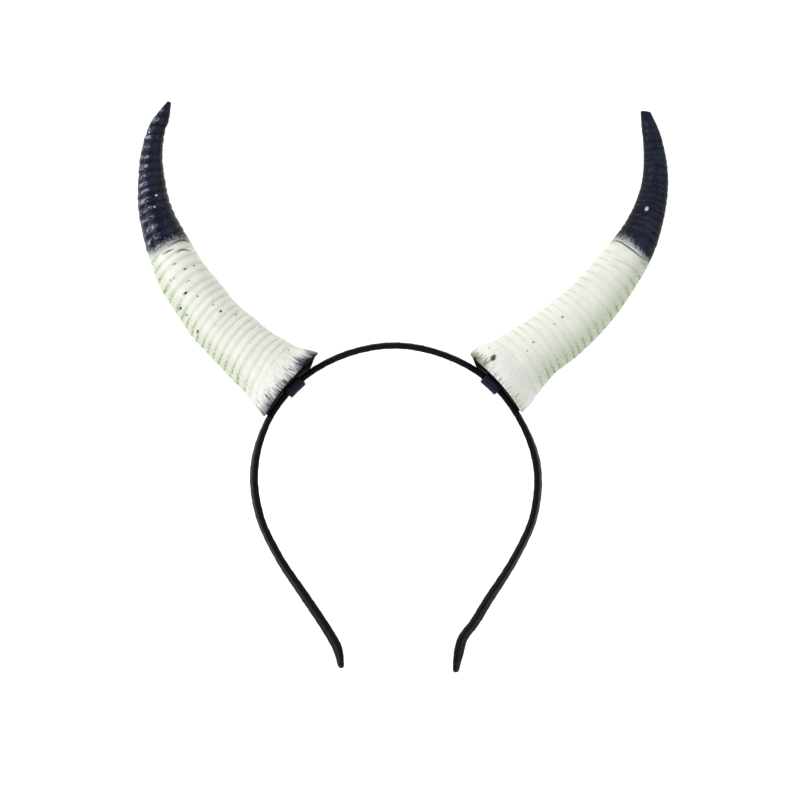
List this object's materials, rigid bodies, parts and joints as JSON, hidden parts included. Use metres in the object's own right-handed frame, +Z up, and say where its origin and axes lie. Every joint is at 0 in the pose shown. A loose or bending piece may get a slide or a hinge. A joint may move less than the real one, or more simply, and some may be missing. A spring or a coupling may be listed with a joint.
{
  "type": "goat horn headband",
  "caption": "Narrow satin-covered hair band with a pair of ringed, tapering, curved costume goat horns, cream below and black above, each held by a pad and keeper loop.",
  "frame": {"origin": "on the ground under the middle of the whole outline, with the headband lying on its back", "axes": "+Z up from the ground, +Y from the band's open ends towards the horn tips, +X to the right-hand horn of the picture"},
  "size_m": [0.2442, 0.2634, 0.033],
  "materials": {
    "horn_foam": "painted self-skinning foam, cream with greenish shading below and glossy blue-black above",
    "band_satin": "black satin ribbon wound and glued over a spring strip",
    "base_felt": "black felt",
    "loop_strap": "smooth dark navy imitation leather strap"
  },
  "bodies": {
    "root": {"headband": "band_satin", "horn_left": "horn_foam", "horn_right": "horn_foam", "base_pad_left": "base_felt", "base_pad_right": "base_felt", "loop_left": "loop_strap", "loop_right": "loop_strap"}
  },
  "joints": []
}
